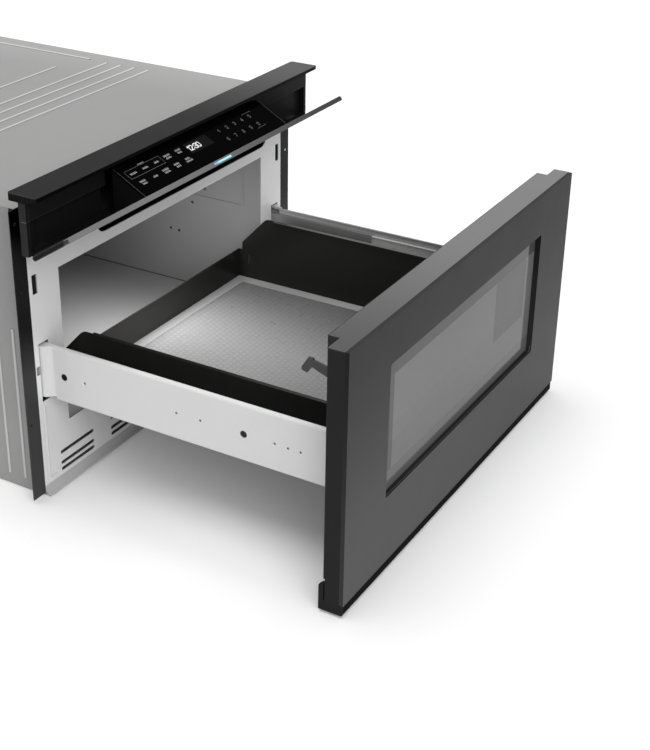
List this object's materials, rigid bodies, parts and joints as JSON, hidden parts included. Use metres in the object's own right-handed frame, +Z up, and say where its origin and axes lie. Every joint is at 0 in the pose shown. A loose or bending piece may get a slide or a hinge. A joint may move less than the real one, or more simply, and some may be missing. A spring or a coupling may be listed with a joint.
{
  "type": "microwave drawer",
  "caption": "Built-in microwave oven drawer: motor-driven drawer with windowed door on side slides, tilting touch-control flap, flanged chassis with stirrer, fan and magnetron inside.",
  "frame": {"origin": "on the cabinet's shelf, in the plane of the cabinet's face, on the centre line", "axes": "+X right seen from the front, +Y into the cabinet, +Z up; the rest pose has the drawer pulled out and the control flap tilted open, as pictured"},
  "size_m": [0.612, 0.996, 0.411],
  "materials": {
    "chassis_sheet": "satin light grey coated sheet",
    "plate_enamel": "smooth white paint, low gloss",
    "flange_paint": "glossy black paint",
    "black_stainless": "black stainless steel with a fine brushed grain",
    "door_side_paint": "satin black paint",
    "housing_plastic": "black moulded plastic",
    "zinc_steel": "bright zinc-plated steel",
    "cavity_paint": "grey paint, semi-gloss",
    "mica": "pale mica sheet",
    "pale_plastic": "off-white moulded plastic",
    "cast_aluminium": "plain aluminium",
    "lacquered_core": "dark lacquered core",
    "circuit_board": "green board",
    "gear_plastic": "natural acetal",
    "tinted_glass": "grey tinted glass",
    "clear_glass": "clear glass",
    "screen_steel": "perforated sheet",
    "basket_enamel": "glossy black coating",
    "floor_frame_plastic": "pale grey plastic",
    "floor_ceramic": "light grey ceramic glass with a fine dot pattern",
    "touch_glass": "glossy black glass",
    "light_diffuser": "pale cyan light guide"
  },
  "bodies": {
    "chassis": {"base_pan": "chassis_sheet", "chassis_wrap": "chassis_sheet", "back_panel": "chassis_sheet", "front_plate": "plate_enamel", "flange_left": "flange_paint", "flange_right": "flange_paint", "hood_trim": "black_stainless", "control_housing": "housing_plastic", "hinge_pins": "zinc_steel", "cavity_liner": "cavity_paint", "stirrer_cover": "mica", "cavity_lamp": "pale_plastic", "slide_cabinet_left": "zinc_steel", "slide_cabinet_right": "zinc_steel", "slide_brackets": "zinc_steel", "drive_motor": "zinc_steel", "latch_housing_left": "pale_plastic", "latch_housing_right": "pale_plastic", "waveguide": "zinc_steel", "stirrer_motor": "zinc_steel", "magnetron": "cast_aluminium", "fan_shroud": "housing_plastic", "fan_motor": "zinc_steel", "transformer": "lacquered_core", "capacitor": "cast_aluminium", "board_carrier": "pale_plastic", "control_board": "circuit_board", "cord_gland": "housing_plastic", "panel_screws": "zinc_steel"},
    "stirrer_fan": {"stirrer_fan": "cast_aluminium"},
    "cooling_fan": {"cooling_fan": "housing_plastic"},
    "drive_pinion": {"drive_pinion": "gear_plastic"},
    "slide_middle_left": {"slide_middle_left": "zinc_steel"},
    "slide_middle_right": {"slide_middle_right": "zinc_steel"},
    "drawer": {"drawer_arm_left": "plate_enamel", "drawer_arm_right": "plate_enamel", "slide_drawer_left": "zinc_steel", "slide_drawer_right": "zinc_steel", "drawer_rack": "gear_plastic", "door_front": "black_stainless", "door_frame": "door_side_paint", "door_top_cap": "black_stainless", "door_pan": "plate_enamel", "outer_glass": "tinted_glass", "inner_glass": "clear_glass", "window_screen": "screen_steel", "bottom_trim": "housing_plastic", "latch_hook_left": "zinc_steel", "latch_hook_right": "zinc_steel", "basket_side_left": "basket_enamel", "basket_side_right": "basket_enamel", "basket_back": "basket_enamel", "basket_pan": "basket_enamel", "floor_frame": "floor_frame_plastic", "glass_floor": "floor_ceramic"},
    "control_flap": {"flap_panel": "black_stainless", "flap_module": "housing_plastic", "touch_glass": "touch_glass", "light_bar": "light_diffuser"}
  },
  "joints": [
    {"name": "drawer_slide", "type": "slide", "parent": "chassis", "child": "drawer", "axis": [0, 1, 0], "range_m": [0, 0.395]},
    {"name": "middle_slide_left", "type": "slide", "parent": "chassis", "child": "slide_middle_left", "axis": [0, 1, 0], "range_m": [0, 0.198]},
    {"name": "middle_slide_right", "type": "slide", "parent": "chassis", "child": "slide_middle_right", "axis": [0, 1, 0], "range_m": [0, 0.198]},
    {"name": "flap_tilt", "type": "hinge", "parent": "chassis", "child": "control_flap", "pos_m": [0, -0.0345, 0.3368], "axis": [1, 0, 0], "range_deg": [-57, 0]},
    {"name": "stirrer_spin", "type": "hinge", "parent": "chassis", "child": "stirrer_fan", "pos_m": [0, 0.215, 0.32], "axis": [0, 0, 1], "continuous": true},
    {"name": "cooling_fan_spin", "type": "hinge", "parent": "chassis", "child": "cooling_fan", "pos_m": [0.072, 0.496, 0.248], "axis": [1, 0, 0], "continuous": true},
    {"name": "pinion_spin", "type": "hinge", "parent": "chassis", "child": "drive_pinion", "pos_m": [0.23922, 0.0295, 0.141], "axis": [0, 0, 1], "range_deg": [-5, 2330]}
  ],
  "couplings": [
    {"joint": "middle_slide_left", "follows": "drawer_slide", "ratio": 0.5},
    {"joint": "middle_slide_right", "follows": "drawer_slide", "ratio": 0.5},
    {"joint": "pinion_spin", "follows": "drawer_slide", "rad_per_m": 102.56}
  ]
}
